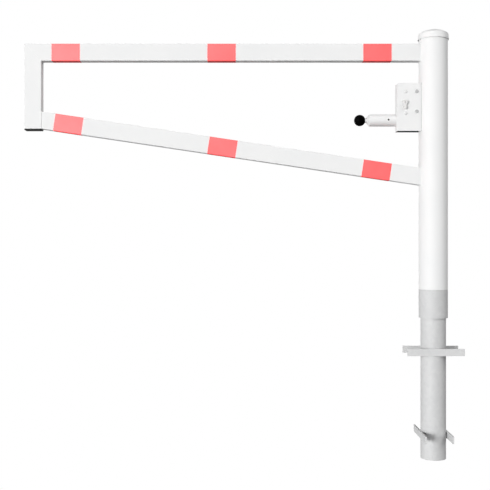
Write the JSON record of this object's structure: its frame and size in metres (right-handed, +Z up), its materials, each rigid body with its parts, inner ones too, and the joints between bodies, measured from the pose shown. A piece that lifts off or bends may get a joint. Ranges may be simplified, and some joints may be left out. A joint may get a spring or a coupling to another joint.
{
  "type": "swing barrier",
  "caption": "Swing barrier: a round post that turns on a ground tube, with a tapering gate of box section, red bands, and a keyed latch bolt with a ball knob.",
  "frame": {"origin": "on the post's axis at ground level, which is the collar's underside", "axes": "+Z up the post; the closed gate runs along -X; the lock's face looks along -Y"},
  "size_m": [1.549, 0.2, 1.52],
  "materials": {
    "white_coating": "white powder coating on steel, satin",
    "galvanised_steel": "hot-dip galvanised steel, matt with a faint spangle",
    "red_film": "red reflective film, smooth",
    "black_plastic": "black moulded plastic",
    "bare_steel": "zinc-plated steel",
    "nickelled_brass": "nickel-plated brass"
  },
  "bodies": {
    "ground": {"ground_tube": "galvanised_steel", "support_collar": "galvanised_steel", "anchor_bar_front": "galvanised_steel", "anchor_bar_rear": "galvanised_steel", "anchor_bar_left": "galvanised_steel", "anchor_bar_right": "galvanised_steel"},
    "gate": {"post_tube": "white_coating", "post_cap": "white_coating", "top_rail": "white_coating", "end_stile": "white_coating", "lower_rail": "white_coating", "stile_end_cap": "black_plastic", "lock_housing": "white_coating", "lock_case": "bare_steel", "lock_cylinder": "nickelled_brass", "bolt_sleeve": "white_coating", "sleeve_bush": "white_coating", "top_band_1": "red_film", "top_band_2": "red_film", "top_band_3": "red_film", "lower_band_1": "red_film", "lower_band_2": "red_film", "lower_band_3": "red_film"},
    "latch": {"lock_bolt": "bare_steel", "ball_knob": "black_plastic"}
  },
  "joints": [
    {"name": "gate_swing", "type": "hinge", "parent": "ground", "child": "gate", "pos_m": [0, 0, 0.1], "axis": [0, 0, 1], "range_deg": [-90, 90]},
    {"name": "bolt_slide", "type": "slide", "parent": "gate", "child": "latch", "axis": [-1, 0, 0], "range_m": [-0.0045, 0.02]}
  ]
}
